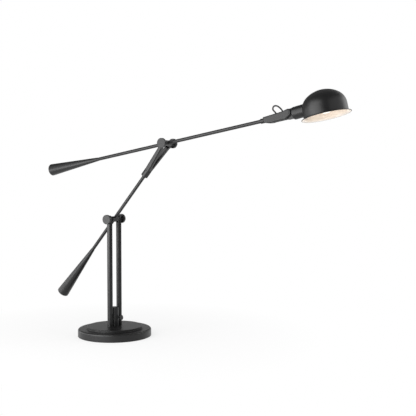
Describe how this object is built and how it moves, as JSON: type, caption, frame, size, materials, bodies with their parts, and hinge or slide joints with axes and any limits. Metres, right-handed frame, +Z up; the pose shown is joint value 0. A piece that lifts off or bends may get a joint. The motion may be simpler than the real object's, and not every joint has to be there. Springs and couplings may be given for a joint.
{
  "type": "counterweight balance desk lamp",
  "caption": "Desk lamp with a round weighted base, upright posts, counterweighted arms on clamped axles and a tilting domed shade.",
  "frame": {"origin": "middle of the felt face that the base stands on", "axes": "+Z up, +X from the posts towards the shade, +Y along the axles"},
  "size_m": [0.948, 0.21, 0.6742],
  "materials": {
    "black_paint": "satin",
    "white_enamel": "satin",
    "cast_iron": "matte",
    "zinc_steel": "satin",
    "black_felt": "matte",
    "black_rubber": "matte",
    "cord_sheath": "satin",
    "black_nylon": "matte",
    "switch_moulding": "satin",
    "holder_ceramic": "gloss",
    "lamp_brass": "satin",
    "frosted_glass": "matte"
  },
  "bodies": {
    "base": {"base_cover": "black_paint", "base_step": "black_paint", "base_weight": "cast_iron", "felt_pad": "black_felt", "cord_bushing": "black_rubber", "post_nipples": "zinc_steel", "post_washers": "zinc_steel", "post_nuts": "zinc_steel", "front_post": "black_paint", "back_post": "black_paint", "post_lead": "cord_sheath", "switch_can": "black_paint", "switch_block": "switch_moulding", "switch_bush": "black_paint", "can_screw": "zinc_steel", "lower_outer_washers": "black_nylon"},
    "switch_key": {"switch_key": "black_paint"},
    "lower_arm": {"lower_hub": "black_paint", "lower_inner_washers": "black_nylon", "lower_rod": "black_paint", "lower_lead": "cord_sheath", "lower_counterweight": "black_paint", "lower_weight_screw": "zinc_steel", "yoke_ferrule": "black_paint", "yoke": "black_paint", "elbow_outer_washers": "black_nylon"},
    "lower_front_knob": {"lower_front_knob": "black_paint"},
    "lower_back_knob": {"lower_back_knob": "black_paint"},
    "upper_arm": {"elbow_hub": "black_paint", "elbow_inner_washers": "black_nylon", "upper_rod": "black_paint", "upper_lead": "cord_sheath", "upper_counterweight": "black_paint", "upper_weight_screw": "zinc_steel", "swivel_collar": "black_paint"},
    "elbow_front_knob": {"elbow_front_knob": "black_paint"},
    "elbow_back_knob": {"elbow_back_knob": "black_paint"},
    "fork": {"head_fork": "black_paint", "fork_screw": "zinc_steel", "head_pin": "black_paint", "pin_nut": "black_paint", "head_cord": "cord_sheath"},
    "head": {"knuckle": "black_paint", "knuckle_washers": "black_nylon", "socket_cup": "black_paint", "lamp_holder": "holder_ceramic", "holder_shell": "lamp_brass", "holder_contact": "lamp_brass", "holder_ring": "black_paint", "shade_shell": "black_paint", "shade_liner": "white_enamel", "bulb_cap": "lamp_brass", "bulb_glass": "frosted_glass"}
  },
  "joints": [
    {"name": "lower_arm_tilt", "type": "hinge", "parent": "base", "child": "lower_arm", "pos_m": [0, 0, 0.3367], "axis": [0, 1, 0], "range_deg": [-30, 37]},
    {"name": "upper_arm_tilt", "type": "hinge", "parent": "lower_arm", "child": "upper_arm", "pos_m": [0.1837, 0, 0.55027], "axis": [0, 1, 0], "range_deg": [-28, 60]},
    {"name": "head_swivel", "type": "hinge", "parent": "upper_arm", "child": "fork", "pos_m": [0.48218, 0, 0.60236], "axis": [0.9851, 0, 0.1719], "range_deg": [-60, 60]},
    {"name": "head_tilt", "type": "hinge", "parent": "fork", "child": "head", "pos_m": [0.55116, 0, 0.62008], "axis": [0, 1, 0], "range_deg": [-25, 60], "deforming": ["head_cord"]},
    {"name": "switch_turn", "type": "hinge", "parent": "base", "child": "switch_key", "pos_m": [0.0118, 0, 0.0544], "axis": [1, 0, 0], "continuous": true},
    {"name": "lower_front_knob_turn", "type": "hinge", "parent": "lower_arm", "child": "lower_front_knob", "pos_m": [0, -0.0374, 0.3367], "axis": [0, -1, 0], "range_deg": [0, 180]},
    {"name": "lower_back_knob_turn", "type": "hinge", "parent": "lower_arm", "child": "lower_back_knob", "pos_m": [0, 0.0374, 0.3367], "axis": [0, 1, 0], "range_deg": [0, 180]},
    {"name": "elbow_front_knob_turn", "type": "hinge", "parent": "upper_arm", "child": "elbow_front_knob", "pos_m": [0.1837, -0.0312, 0.55027], "axis": [0, -1, 0], "range_deg": [0, 180]},
    {"name": "elbow_back_knob_turn", "type": "hinge", "parent": "upper_arm", "child": "elbow_back_knob", "pos_m": [0.1837, 0.0312, 0.55027], "axis": [0, 1, 0], "range_deg": [0, 180]}
  ]
}
